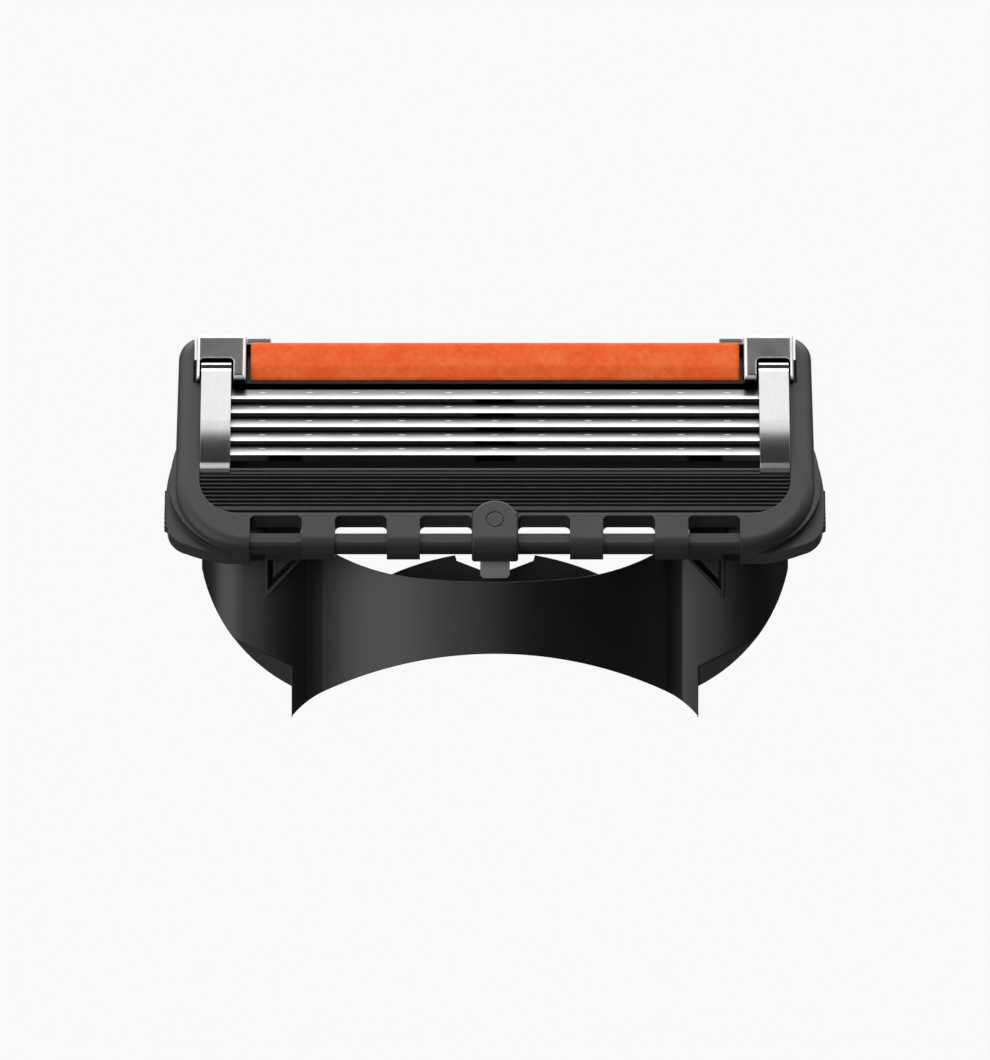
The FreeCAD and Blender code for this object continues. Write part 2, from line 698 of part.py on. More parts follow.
def add_wings(body):
    """Two steps round each lower corner: a low ridge, and behind it a thicker bumper with a toothed side."""
    inner_x = dims.rim_gap_x
    ridge = [
        (dims.ridge_start_x - dims.bond, -dims.ridge_start_v),
        (inner_x, -dims.ridge_side_v),
        (dims.ridge_end_x, dims.ridge_bury - dims.ridge_end_v),
        (dims.ridge_end_x, -dims.ridge_end_v, dims.ridge_sweep),
        (dims.ridge_side_x, -dims.ridge_side_v, dims.ridge_flank),
        (dims.ridge_start_x, -dims.ridge_start_v),
    ]
    add(body, "corner_ridges", "XY", both_sides([ridge]), -dims.ridge_low, -dims.ridge_top)
    bumper = [
        (dims.bumper_start_x - dims.bond, -dims.bumper_start_v),
        (inner_x, -dims.ridge_side_v),
        (dims.bumper_end_x, -dims.bumper_inner_v),
        (dims.bumper_near_x, -dims.bumper_inner_v),
        (dims.bumper_near_x, -dims.bumper_end_v),
        (dims.bumper_end_x, -dims.bumper_end_v, dims.bumper_sweep),
        (dims.bumper_turn_x, -dims.bumper_turn_v, dims.bumper_corner),
        (dims.bumper_side_x, -dims.bumper_side_v, dims.bumper_flank),
        (dims.bumper_start_x, -dims.bumper_start_v),
    ]
    add(body, "bumpers", "XY", both_sides([bumper]), -dims.bumper_low, -dims.bumper_top)
    add(body, "teeth", "XY", both_sides([teeth_outline()]), -dims.teeth_low, -dims.ridge_low - dims.bond)


def teeth_outline():
    """A saw-toothed strip down the bumper's side, from its lowest tooth to its highest."""
    root = dims.tooth_root
    low = dims.teeth_top + TEETH * dims.tooth_pitch
    points = [(dims.tooth_base, -dims.teeth_top), (dims.tooth_base, -low)]
    for n in range(TEETH, 0, -1):
        foot = dims.teeth_top + n * dims.tooth_pitch
        points.append((root, -foot))
        points.append((root + dims.tooth_deep, dims.tooth_pitch / 2 - foot))
    points.append((root, -dims.teeth_top))
    return points


def ring_loop(radius, middle_v):
    return [
        (radius, middle_v, radius),
        (0, middle_v + radius, radius),
        (-radius, middle_v, radius),
        (0, middle_v - radius, radius),
    ]


def add_boss(body):
    half = dims.boss_half
    middle = -dims.boss_top - half
    foot = -dims.sill_v - dims.boss_hang
    add(body, "boss", "XY", [rectangle(-half, foot, half, -dims.guard_v)], -dims.rim_deep, dims.boss_proud)

    def on_front_foot(point, edge):
        return near(point.z, dims.boss_proud.number) and near(point.y, foot.number)

    round_edges(body, "soft_foot", dims.rim_round, on_front_foot)
    arch = [(-half, middle), (half, middle, half), (0, middle + half, half)]
    add(body, "boss_arch", "XY", [arch], 0, dims.boss_proud)

    def on_boss_front(point, edge):
        above_foot = point.y > dims.rim_round.number - dims.sill_v.number - dims.boss_hang.number / 2
        return near(point.z, dims.boss_proud.number) and above_foot

    round_edges(body, "soft_boss", dims.boss_round, on_boss_front)
    mark = dims.mark_radius
    rings = [ring_loop(mark, middle), ring_loop(mark - dims.mark_wide, middle)]
    cut(body, "round_mark", "XY", rings, dims.boss_proud - dims.mark_deep, dims.boss_proud)


# ---------------------------------------------------------------- cap, strip, clips, trimmer

def make_cap_carrier():
    body = new_body("cap_carrier", True)
    plate = rectangle(-dims.cap_half, dims.seat_v, dims.cap_half, dims.cap_top)
    add(body, "plate", "XY", [plate], -dims.seat_deep, -dims.cap_plate)
    wall = rectangle(-dims.cap_half, dims.wall_v, dims.cap_half, dims.cap_top)
    add(body, "rear_wall", "XY", [wall], -dims.seat_deep, -dims.wall_low)
    lip = rectangle(-dims.cap_half, dims.seat_v, dims.cap_half, dims.lip_v)
    add(body, "front_lip", "XY", [lip], -dims.seat_deep, -dims.lip_low)
    blocks = both_sides([rectangle(dims.cap_inner, dims.seat_v, dims.cap_half, dims.cap_top)])
    add(body, "end_blocks", "XY", blocks, -dims.seat_deep, dims.cap_proud)

    def on_block_top(point, edge):
        return near(point.z, dims.cap_proud.number)

    round_edges(body, "soft_tops", dims.cap_round, on_block_top)
    shoulder = rectangle(dims.shoulder_x, dims.wall_v, dims.cap_inner + dims.cap_round, dims.cap_top)
    add(body, "shoulders", "XY", both_sides([shoulder]), -dims.seat_deep, dims.shoulder_high)
    bend = dims.cap_round
    foot = dims.seat_v - dims.bond
    notch = [
        (dims.notch_x, foot),
        (dims.notch_far, foot),
        (dims.notch_far, dims.notch_v - bend, bend),
        (dims.notch_far - bend, dims.notch_v),
        (dims.notch_x + bend, dims.notch_v, bend),
        (dims.notch_x, dims.notch_v - bend),
    ]
    cut(body, "clip_notches", "XY", both_sides([notch]), -dims.seat_deep, dims.cap_proud)
    return body


def make_strip():
    body = new_body("lubricating_strip", True)
    floor = -dims.cap_plate
    section = [
        (dims.lip_v, floor),
        (dims.wall_v, floor),
        (dims.wall_v, dims.strip_back),
        (dims.wall_v - dims.strip_edge, dims.strip_crown),
        (dims.strip_bevel_v, dims.strip_bevel_high),
        (dims.lip_v, -dims.strip_front),
    ]
    add(body, "strip", "YZ", [section], -dims.strip_half, dims.strip_half)
    return body


def clip_section():
    """Section of a clip: one bent strip of metal, from its rear fold over the face to its front fold."""
    thick = dims.clip_thick
    top = dims.clip_high
    back = -dims.slab_deep - dims.clip_under
    leg = dims.clip_leg_v
    foot = -dims.clip_foot_v
    bend = dims.clip_bend
    inner_bend = dims.inner_bend
    # the front half sweeps down on a large radius, and a tight bend turns it into the front leg
    down = sine(dims.sweep_turn)
    level = cosine(dims.sweep_turn)
    sweep = dims.sweep_radius
    inner_sweep = sweep - thick
    centre = top - sweep
    sweep_end = (dims.sweep_v - sweep * down, centre + sweep * level)
    inner_end = (dims.sweep_v - inner_sweep * down, centre + inner_sweep * level)
    crease = (sweep_end[0] - foot) / (1 - down)
    leg_top = sweep_end[1] - crease * level
    return [
        (leg - dims.clip_fold, back),
        (leg - dims.clip_fold, back - thick),
        (leg, back - thick),
        (leg, top - bend, bend),
        (leg - bend, top + dims.clip_lift),
        (dims.dip_v, top - dims.clip_lift),
        (dims.dip_end_v, top),
        (dims.sweep_v, top, sweep),
        sweep_end + (crease,),
        (foot, leg_top),
        (foot, back - thick),
        (foot + dims.clip_fold, back - thick),
        (foot + dims.clip_fold, back),
        (foot + thick, back),
        (foot + thick, leg_top, thick - crease),
        inner_end + (-inner_sweep,),
        (dims.sweep_v, top - thick),
        (leg - thick - inner_bend, top - thick, -inner_bend),
        (leg - thick, top - thick - inner_bend),
        (leg - thick, back),
    ]


def make_clip(name, side):
    body = new_body(name, True)
    span = (dims.clip_near, dims.clip_far) if side > 0 else (-dims.clip_far, -dims.clip_near)
    add(body, "bent_strip", "YZ", [clip_section()], *span)
    return body


def make_trimmer():
    """The single blade on the head's rear, and the cover with its row of comb teeth."""
    half = dims.trimmer_half
    back = -dims.slab_deep
    low = back - dims.trimmer_thick
    blade = new_body("trimmer_blade", True)
    section = [
        (dims.trimmer_low, back),
        (dims.trimmer_low, low),
        (dims.trimmer_hone, low),
        (dims.trimmer_edge, back - dims.trimmer_thick / 2),
        (dims.trimmer_hone, back),
    ]
    add(blade, "strip", "YZ", [section], -half, half)
    cover = new_body("trimmer_cover", True)
    section = [
        (dims.cover_low, low),
        (dims.cover_low, low - dims.cover_step),
        (dims.trimmer_low, low - dims.cover_deep),
        (dims.cover_back, low - dims.cover_deep),
        (dims.cover_high, low),
    ]
    add(cover, "shell", "YZ", [section], -dims.cover_half, dims.cover_half)
    teeth = []
    for n in range(-COMB_SIDE, COMB_SIDE + 1):
        middle = n * dims.comb_pitch
        near_x = middle - dims.comb_half
        teeth.append(rectangle(near_x, dims.comb_low, middle + dims.comb_half, dims.comb_high))
    add(cover, "comb_teeth", "XY", teeth, low - dims.comb_deep, low)
    return blade, cover


# ---------------------------------------------------------------- connector

def shell_path(inset):
    """Half of the front shell's plan, from the middle outwards: its bowed front, a hollow, then the arm."""
    bow = dims.bow_radius - inset
    hollow = dims.valley_radius + inset
    front = dims.front_radius - inset
    arm = dims.arm_radius - inset
    arm_x = dims.front_x + (dims.front_radius - dims.arm_radius) * cosine(dims.arm_turn)
    arm_y = dims.front_y + (dims.front_radius - dims.arm_radius) * sine(dims.arm_turn)
    return [
        polar(bow, dims.bow_turn, 0, dims.bow_y) + (-hollow,),
        polar(front, dims.front_turn, dims.front_x, dims.front_y) + (front,),
        polar(front, dims.arm_turn, dims.front_x, dims.front_y) + (arm,),
        polar(arm, dims.arm_end_turn, arm_x, arm_y),
    ]


def shell_plan():
    """Plan of the connector's front shell, the same thickness all along."""
    outer = shell_path(as_size(0))
    outer_left = mirror_path(outer)
    outer_left[-1] += (dims.bow_radius,)
    inner = shell_path(dims.shell_thick)
    inner_left = [(-point[0], point[1]) + tuple(-radius for radius in point[2:]) for point in inner]
    inner_right = mirror_path(inner_left)
    inner_right[-1] += (dims.shell_thick - dims.bow_radius,)
    return outer_left + outer + inner_right + inner_left


def make_connector():
    body = new_body("connector", False)
    add(body, "shell", "XY", [shell_plan()], dims.shell_foot, dims.shell_top)
    front = dims.collar_front
    rear = dims.rear_y
    outside = dims.side_far
    inside = outside - dims.side_thick
    collar = [
        (-outside, front),
        (-inside, front),
        (-inside, rear - dims.rear_thick),
        (inside, rear - dims.rear_thick),
        (inside, front),
        (outside, front),
        (outside, rear),
        (-outside, rear),
    ]
    add(body, "collar", "XY", [collar], dims.collar_foot, dims.collar_top)
    cut_connector_outline(body)
    add_gussets(body)
    add_bearing_tongues(body)
    return body


def cut_connector_outline(body):
    """The arched mouth, the curved arms, the brow under the comb bar, the rear wall's top and small cuts."""
    reach = dims.shell_reach
    above = dims.above
    arch = [
        (-dims.tip_x, -dims.arch_z),
        (dims.tip_x, -dims.arch_z),
        (dims.tip_x, 0, dims.tip_radius),
        (dims.arch_x, dims.arch_foot_z, dims.arch_radius),
        (-dims.arch_x, dims.arch_foot_z, dims.tip_radius),
        (-dims.tip_x, 0),
    ]
    cut(body, "arch", "XZ", [arch], -reach, reach)
    tip = dims.tip_x + dims.tip_edge
    outside = [
        (tip, -dims.arch_z),
        (dims.outside_x, -dims.arch_z),
        (dims.outside_x, above),
        (dims.arm_x, above),
        (dims.arm_x, dims.arm_z, -dims.arm_curve),
        (tip, dims.fin_z),
    ]
    cut(body, "arm_curve", "XZ", both_sides([outside]), -reach, reach)
    brow = [
        (-dims.brow_x, dims.brow_end_z, dims.brow_end_radius),
        (-dims.brow_mid_x, dims.brow_mid_z, dims.brow_radius),
        (dims.brow_mid_x, dims.brow_mid_z, dims.brow_end_radius),
        (dims.brow_x, dims.brow_end_z),
        (dims.brow_x + dims.brow_flare, above),
        (-dims.brow_x - dims.brow_flare, above),
    ]
    cut(body, "brow", "XZ", [brow], -reach, dims.brow_back)
    cut(body, "rear_top", "XZ", [rear_top_outline()], dims.rear_start, reach)
    latches = rectangle(dims.latch_near, dims.latch_low, dims.latch_far, dims.latch_high)
    cut(body, "latch_windows", "XZ", both_sides([latches]), dims.rear_y - dims.rear_thick, dims.rear_y)
    facet = [
        (dims.facet_x, dims.facet_low),
        (dims.facet_end_x, dims.facet_end_z),
        (dims.facet_end_x - dims.facet_wide, dims.facet_end_z + dims.facet_wide),
        (dims.facet_x, dims.facet_high),
    ]
    cut(body, "lower_facets", "XZ", both_sides([facet]), -reach, dims.facet_y)


def rear_top_outline():
    """What is taken off above the rear wall, leaving two hills with a saddle between them."""
    right = [
        (dims.saddle_x, dims.saddle_z),
        (dims.hill_top_x - dims.bond, dims.hill_step_z),
        (dims.hill_top_x, dims.hill_top_z, -dims.hill_radius),
        (dims.hill_bend_x, dims.hill_bend_z),
        (dims.hill_foot_x, dims.hill_foot_z),
        (dims.hill_foot_x, dims.above),
    ]
    return mirror_path(right) + right


def add_gussets(body):
    """A triangular rib under each bearing, with a recess whose walls are drafted."""
    gusset = [
        (dims.gusset_x, dims.gusset_foot_z),
        (dims.gusset_x, dims.gusset_top_z),
        (dims.gusset_near_x, dims.gusset_near_z),
    ]
    add(body, "gussets", "XZ", both_sides([gusset]), dims.gusset_front, dims.gusset_back)
    rib = dims.gusset_rib
    recess = [
        (dims.gusset_x - rib, dims.gusset_foot_z + dims.gusset_rib_foot),
        (dims.gusset_x - rib, dims.gusset_top_z - rib),
        (dims.gusset_near_x + dims.gusset_rib_tip, dims.gusset_near_z - dims.gusset_rib_top),
    ]
    floor = dims.gusset_front + dims.gusset_recess
    pocket = cut(body, "gusset_recesses", "XZ", both_sides([recess]), dims.gusset_front, floor)
    pocket.setExpression("TaperAngle", (-dims.gusset_draft).text)


def add_bearing_tongues(body):
    """Two cheek plates with a curved tongue each, which carry the head's shell bearings."""
    turn = dims.face_turn
    middle_y = dims.face_y + dims.pivot_v * cosine(turn) - dims.pivot_w * sine(turn)
    middle_z = dims.face_z + dims.pivot_v * sine(turn) + dims.pivot_w * cosine(turn)
    plate = [
        polar(dims.plate_in, dims.plate_low, middle_y, middle_z) + (dims.plate_in,),
        polar(dims.plate_in, dims.plate_high, middle_y, middle_z),
        polar(dims.plate_out, dims.plate_high, middle_y, middle_z),
        (dims.plate_back, dims.plate_foot),
        (dims.plate_front, dims.plate_foot),
    ]
    tongue = ring_sector(dims.tongue_in, dims.tongue_out, dims.tongue_low, dims.tongue_high, middle_y,
                         middle_z)
    add(body, "plate_right", "YZ", [plate], dims.plate_near, dims.plate_far)
    add(body, "plate_left", "YZ", [plate], -dims.plate_far, -dims.plate_near)
    add(body, "tongue_right", "YZ", [tongue], dims.tongue_near, dims.plate_near)
    add(body, "tongue_left", "YZ", [tongue], -dims.plate_near, -dims.tongue_near)


# ---------------------------------------------------------------- build and write

pieces = [make_connector(), make_housing(), make_return_pad(), make_guard_fins(), make_frame()]
pieces.append(make_cap_carrier())
pieces.append(make_strip())
pieces.extend(make_trimmer())
pieces.append(make_clip("clip_left", -1))
pieces.append(make_clip("clip_right", 1))
for blade_number in range(1, BLADES + 1):
    pieces.append(make_blade(blade_number))
    pieces.append(make_support(blade_number))
doc.recompute()

for item in doc.Objects:
    if "Invalid" in item.State or "Error" in item.State:
        print("bad state:", item.Label, item.State)

os.makedirs("parts", exist_ok=True)
for piece in pieces:
    shape = piece.Shape
    if shape.isNull() or not shape.isValid():
        print("bad shape:", piece.Label)
        continue
    shape.exportStep(f"parts/{piece.Label}.step")
    print(piece.Label, len(shape.Solids), round(shape.Volume, 2))
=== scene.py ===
import json
import math

import bmesh
import bpy
from mathutils import Matrix, Vector


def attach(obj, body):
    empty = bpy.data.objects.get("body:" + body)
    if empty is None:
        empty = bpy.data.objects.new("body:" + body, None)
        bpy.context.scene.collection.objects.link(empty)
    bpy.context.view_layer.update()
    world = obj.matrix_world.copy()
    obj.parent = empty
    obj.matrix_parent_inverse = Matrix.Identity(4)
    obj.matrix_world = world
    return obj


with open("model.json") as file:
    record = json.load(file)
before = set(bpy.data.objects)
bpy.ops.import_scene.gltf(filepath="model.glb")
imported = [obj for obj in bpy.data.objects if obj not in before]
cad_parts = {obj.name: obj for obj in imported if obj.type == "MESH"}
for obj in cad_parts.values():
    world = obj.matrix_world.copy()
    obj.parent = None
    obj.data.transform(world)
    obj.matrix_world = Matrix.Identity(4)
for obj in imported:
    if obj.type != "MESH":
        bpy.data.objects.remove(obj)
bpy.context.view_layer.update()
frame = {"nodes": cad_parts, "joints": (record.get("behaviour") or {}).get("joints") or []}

MM = 0.001
BLADES = range(1, 6)
MIDDLE_BLADE = 3

# ---------------------------------------------------------------- the face frame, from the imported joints

JOINTS = {joint["name"]: joint for joint in frame["joints"]}
OUTWARD = -Vector(JOINTS[f"blade_{MIDDLE_BLADE}_float"]["axis"]).normalized()
ACROSS = Vector((1, 0, 0))
UP_FACE = OUTWARD.cross(ACROSS).normalized()


def node_points(name):
    return [vertex.co.copy() for vertex in frame["nodes"][name].data.vertices]


def lowest_along(name, direction):
    return min(point.dot(direction) for point in node_points(name))


def highest_along(name, direction):
    return max(point.dot(direction) for point in node_points(name))


# The middle blade's edge is the face frame's origin: its lowest point up the face and its outermost point.
FACE_V = lowest_along(f"blade_{MIDDLE_BLADE}", UP_FACE)
FACE_W = highest_along(f"blade_{MIDDLE_BLADE}", OUTWARD)
FACE_ORIGIN = UP_FACE * FACE_V + OUTWARD * FACE_W
BLADE_PITCH = lowest_along(f"blade_{MIDDLE_BLADE - 1}", UP_FACE) - FACE_V


def on_face(across, up, out):
    """A point in the row frame from face-frame millimetres."""
    return FACE_ORIGIN + ACROSS * across * MM + UP_FACE * up * MM + OUTWARD * out * MM


# ---------------------------------------------------------------- node-tree helpers

# A noise's values gather round a half, so most colours are spread between these two of them.
NOISE_LOW = 0.3
NOISE_HIGH = 0.7


def grey(level):
    return (level, level, level)


class Tree:
    """A small wrapper that adds shader nodes and links them."""

    def __init__(self, tree):
        self.tree = tree

    def node(self, kind, inputs=None, **settings):
        node = self.tree.nodes.new(kind)
        for name, value in settings.items():
            setattr(node, name, value)
        for name, value in (inputs or {}).items():
            self.feed(node.inputs[name], value)
        return node

    def feed(self, socket, value):
        if isinstance(value, bpy.types.NodeSocket):
            self.tree.links.new(value, socket)
        else:
            socket.default_value = value

    def maths(self, operation, first, second=0.0, clamp=False):
        node = self.node("ShaderNodeMath", {0: first, 1: second}, operation=operation)
        node.use_clamp = clamp
        return node.outputs[0]

    def vector_maths(self, operation, first, second, output="Vector"):
        node = self.node("ShaderNodeVectorMath", {0: first, 1: second}, operation=operation)
        return node.outputs[output]

    def grow(self, value, gain, base):
        """A base to which a share of a value is added."""
        return self.maths("ADD", self.maths("MULTIPLY", value, gain), base)

    def weighted(self, value, weight, *others):
        """The sum of values, each followed by its weight."""
        total = self.maths("MULTIPLY", value, weight)
        for other, share in zip(others[::2], others[1::2]):
            total = self.maths("ADD", total, self.maths("MULTIPLY", other, share))
        return total

    def ramp(self, factor, stops):
        node = self.node("ShaderNodeValToRGB", {"Fac": factor})
        elements = node.color_ramp.elements
        while len(elements) < len(stops):
            elements.new(0.5)
        for element, (place, colour) in zip(elements, stops):
            element.position = place
            element.color = colour if len(colour) == 4 else (*colour, 1)
        return node.outputs["Color"]

    def greys(self, value, low, high):
        """A grey that goes from low to high with a noise's value."""
        return self.ramp(value, [(NOISE_LOW, grey(low)), (NOISE_HIGH, grey(high))])

    def noise(self, vector, scale, detail, rough):
        inputs = {"Vector": vector, "Scale": scale, "Detail": detail, "Roughness": rough}
        return self.node("ShaderNodeTexNoise", inputs).outputs["Fac"]


def new_material(name):
    """A material with its shader, and millimetre object coordinates."""
    material = bpy.data.materials.new(name)
    material.use_nodes = True
    tree = Tree(material.node_tree)
    shader = material.node_tree.nodes["Principled BSDF"]
    place = tree.node("ShaderNodeTexCoord").outputs["Object"]
    return material, tree, shader, tree.vector_maths("MULTIPLY", place, (1 / MM, 1 / MM, 1 / MM))


def face_place(tree, vector, direction, origin):
    """Millimetres along a face-frame direction from the face's origin."""
    along = tree.vector_maths("DOT_PRODUCT", vector, tuple(direction), "Value")
    return tree.maths("SUBTRACT", along, origin / MM)


def fade(tree, value, low, high):
    """0 below one value, 1 above another, and smooth between."""
    inputs = {"Value": value, "From Min": low, "From Max": high}
    return tree.node("ShaderNodeMapRange", inputs, interpolation_type="SMOOTHSTEP").outputs["Result"]


# Where a colour mix has its factor, its two colours and its result.
MIX_FACTOR = 0
MIX_FIRST = 6
MIX_SECOND = 7
MIX_RESULT = 2


def mix_colours(tree, factor, first, second):
    mix = tree.node("ShaderNodeMix", data_type="RGBA")
    tree.feed(mix.inputs[MIX_FACTOR], factor)
    tree.feed(mix.inputs[MIX_FIRST], first)
    tree.feed(mix.inputs[MIX_SECOND], second)
    return mix.outputs[MIX_RESULT]


def set_metal(tree, shader, colour, roughness):
    tree.feed(shader.inputs["Base Color"], colour)
    shader.inputs["Metallic"].default_value = 1.0
    tree.feed(shader.inputs["Roughness"], roughness)


def set_bump(tree, shader, height, distance, edge_radius=0.0):
    """Bump from a height in 0..1 over a distance in millimetres, on edges softened by a radius."""
    inputs = {"Height": height, "Distance": distance * MM, "Strength": 1.0}
    bump = tree.node("ShaderNodeBump", inputs)
    if edge_radius:
        edge = tree.node("ShaderNodeBevel", {"Radius": edge_radius * MM}, samples=4)
        tree.feed(bump.inputs["Normal"], edge.outputs["Normal"])
    tree.feed(shader.inputs["Normal"], bump.outputs["Normal"])


def stretch(tree, vector, factors):
    return tree.vector_maths("MULTIPLY", vector, factors)


# ---------------------------------------------------------------- materials

GRAIN_TO_ROUGHNESS = 0.16
# The near-black of the painted shade in the housing's recesses.
DEEP_SHADE_COLOUR = (*grey(0.0015), 1)
DEEP_NEAR_FADE = 0.2
DEEP_FAR_FADE = 0.1
HOLLOW_ROUGHNESS = 0.9
HOLLOW_FADE = (0.3, 0.8)


def moulded_plastic(name, dark, light, rough, grain, grain_depth, edge_radius, deep=None, hollow=None):
    """Moulded plastic or elastomer: slow blotches in the colour, a fine grain in the surface.

    Between the two depths of `deep`, in millimetres behind the shaving plane, it is dull, and painted
    shade darkens its colour. The polish doesn't reach into the hollow that stands `hollow` millimetres
    to either side of the middle.
    """
    material, tree, shader, place = new_material(name)
    blotch = tree.noise(place, scale=0.35, detail=4.0, rough=0.6)
    speck = tree.noise(place, scale=grain, detail=3.0, rough=0.65)
    colour = tree.greys(tree.weighted(blotch, 0.6, speck, 0.4), dark, light)
    roughness = tree.grow(speck, GRAIN_TO_ROUGHNESS, rough - GRAIN_TO_ROUGHNESS / 2)
    if deep is not None:
        out = face_place(tree, place, OUTWARD, FACE_W)
        near = fade(tree, out, -deep[0] - DEEP_NEAR_FADE, -deep[0])
        far = tree.maths("SUBTRACT", 1.0, fade(tree, out, -deep[1], DEEP_FAR_FADE - deep[1]))
        unshaded = tree.maths("MAXIMUM", near, far)
        # Painted shade: between the two depths the colour is mixed toward a near-black.
        colour = mix_colours(tree, unshaded, DEEP_SHADE_COLOUR, colour)
        roughness = tree.maths("MAXIMUM", roughness, tree.maths("SUBTRACT", 1.0, unshaded))
    if hollow is not None:
        across = tree.maths("ABSOLUTE", tree.node("ShaderNodeSeparateXYZ", {"Vector": place}).outputs["X"])
        away = tree.maths("ABSOLUTE", tree.maths("SUBTRACT", across, hollow))
        outside = tree.maths("MULTIPLY", fade(tree, away, *HOLLOW_FADE), HOLLOW_ROUGHNESS)
        dull = tree.maths("SUBTRACT", HOLLOW_ROUGHNESS, outside)
        roughness = tree.maths("MAXIMUM", roughness, dull)
    tree.feed(shader.inputs["Base Color"], colour)
    tree.feed(shader.inputs["Roughness"], roughness)
    set_bump(tree, shader, speck, distance=grain_depth, edge_radius=edge_radius)
    return material


STRIP_STOPS = [(0.38, (0.94, 0.10, 0.014)), (0.5, (1.0, 0.135, 0.022)), (0.62, (1.0, 0.19, 0.05))]


def lubricating_polymer():
    """Orange strip: soft blotches in three sizes and a fine granular skin."""
    material, tree, shader, place = new_material("strip_polymer_look")
    large = tree.noise(stretch(tree, place, (0.7, 1, 1)), scale=0.8, detail=3.0, rough=0.6)
    small = tree.noise(place, scale=3.2, detail=3.0, rough=0.6)
    grain = tree.noise(place, scale=14, detail=2.0, rough=0.5)
    mixed = tree.weighted(large, 0.55, small, 0.35, grain, 0.1)
    tree.feed(shader.inputs["Base Color"], tree.ramp(mixed, STRIP_STOPS))
    shader.inputs["Roughness"].default_value = 0.55
    shader.inputs["Specular IOR Level"].default_value = 0.3
    shader.inputs["Subsurface Weight"].default_value = 0.08
    shader.inputs["Subsurface Radius"].default_value = (0.6 * MM, 0.2 * MM, 0.1 * MM)
    shader.inputs["Subsurface Scale"].default_value = 1.0
    set_bump(tree, shader, tree.weighted(small, 0.6, grain, 0.4), distance=0.02, edge_radius=0.4)
    return material


def edge_mask(tree, radius, gain):
    """1 on edges sharper than a radius in millimetres, 0 on flats: how far a softened normal leans over."""
    soft = tree.node("ShaderNodeBevel", {"Radius": radius * MM}, samples=6).outputs["Normal"]
    plain = tree.node("ShaderNodeNewGeometry").outputs["Normal"]
    match = tree.vector_maths("DOT_PRODUCT", soft, plain, "Value")
    return tree.maths("MULTIPLY", tree.maths("SUBTRACT", 1.0, match), gain, clamp=True)


# How strongly painted highlight lightens a face, by its facing, from one square to the shaving plane (0) to
# one along it (1).
FACING_HIGHLIGHT_STOPS = [(0.12, grey(0)), (0.32, grey(1)), (0.86, grey(1)), (0.97, grey(0))]
COAT_STOPS = [(0.35, grey(0.085)), (0.65, grey(0.135))]
EDGE_HIGHLIGHT_COLOUR = (*grey(0.95), 1)
EDGE_HIGHLIGHT_ROUGHNESS = 0.35
SUNK_SHADE_COLOUR = (*grey(0.03), 1)
# Painted shade: the tray's colour is darkened below the first of these heights over the shaving plane, and
# not at all above the second.
SUNK_SHADE_FADE = (-0.15, 0.25)


def metallised_plastic():
    """Cap tray: dark vacuum-metallised plastic with a satin coat, painted highlight along its edges and
    painted shade in its sunk parts.
    """
    material, tree, shader, place = new_material("metallised_look")
    speck = tree.noise(place, scale=30, detail=2.0, rough=0.6)
    blotch = tree.noise(place, scale=0.6, detail=3.0, rough=0.5)
    coat = tree.ramp(tree.weighted(speck, 0.5, blotch, 0.5), COAT_STOPS)
    normal = tree.node("ShaderNodeNewGeometry").outputs["Normal"]
    facing = tree.vector_maths("DOT_PRODUCT", normal, tuple(OUTWARD), "Value")
    facing_highlight = tree.ramp(facing, FACING_HIGHLIGHT_STOPS)
    # Painted highlight: leaning faces and sharp edges of the tray turn near-white.
    edge_highlight = tree.maths("MAXIMUM", facing_highlight, edge_mask(tree, radius=0.2, gain=3.0))
    colour = mix_colours(tree, edge_highlight, coat, EDGE_HIGHLIGHT_COLOUR)
    # Painted shade on the tray's sunk parts below the shaving plane.
    height = fade(tree, face_place(tree, place, OUTWARD, FACE_W), *SUNK_SHADE_FADE)
    colour = mix_colours(tree, height, SUNK_SHADE_COLOUR, colour)
    highlight_roughening = tree.maths("MULTIPLY", edge_highlight, EDGE_HIGHLIGHT_ROUGHNESS)
    set_metal(tree, shader, colour, tree.maths("ADD", tree.grow(speck, gain=0.1, base=0.2), highlight_roughening))
    set_bump(tree, shader, speck, distance=0.004, edge_radius=0.15)
    return material


def rolled_aluminium():
    """Retaining clips: rolled strip with fine lines along its length."""
    material, tree, shader, place = new_material("clip_look")
    lines = tree.noise(stretch(tree, place, (26, 0.5, 0.5)), scale=1.0, detail=3.0, rough=0.6)
    blotch = tree.noise(place, scale=1.5, detail=3.0, rough=0.6)
    colour = tree.greys(tree.weighted(lines, 0.6, blotch, 0.4), low=0.53, high=0.61)
    set_metal(tree, shader, colour, tree.grow(lines, gain=0.08, base=0.14))
    set_bump(tree, shader, lines, distance=0.002, edge_radius=0.06)
    return material


# Blade colour from its honed edge (0) to its back (1), partly the coating's own tone and partly painted
# shade that darkens toward the back under the blade above, and how far the border wanders along the blade.
BLADE_TONE_AND_SHADE = {0.0: 0.46, 0.15: 0.4, 0.32: 0.23, 0.5: 0.15, 0.8: 0.12}
BLADE_STOPS = [(height, grey(level)) for height, level in BLADE_TONE_AND_SHADE.items()]
BLADE_WANDER = 0.22


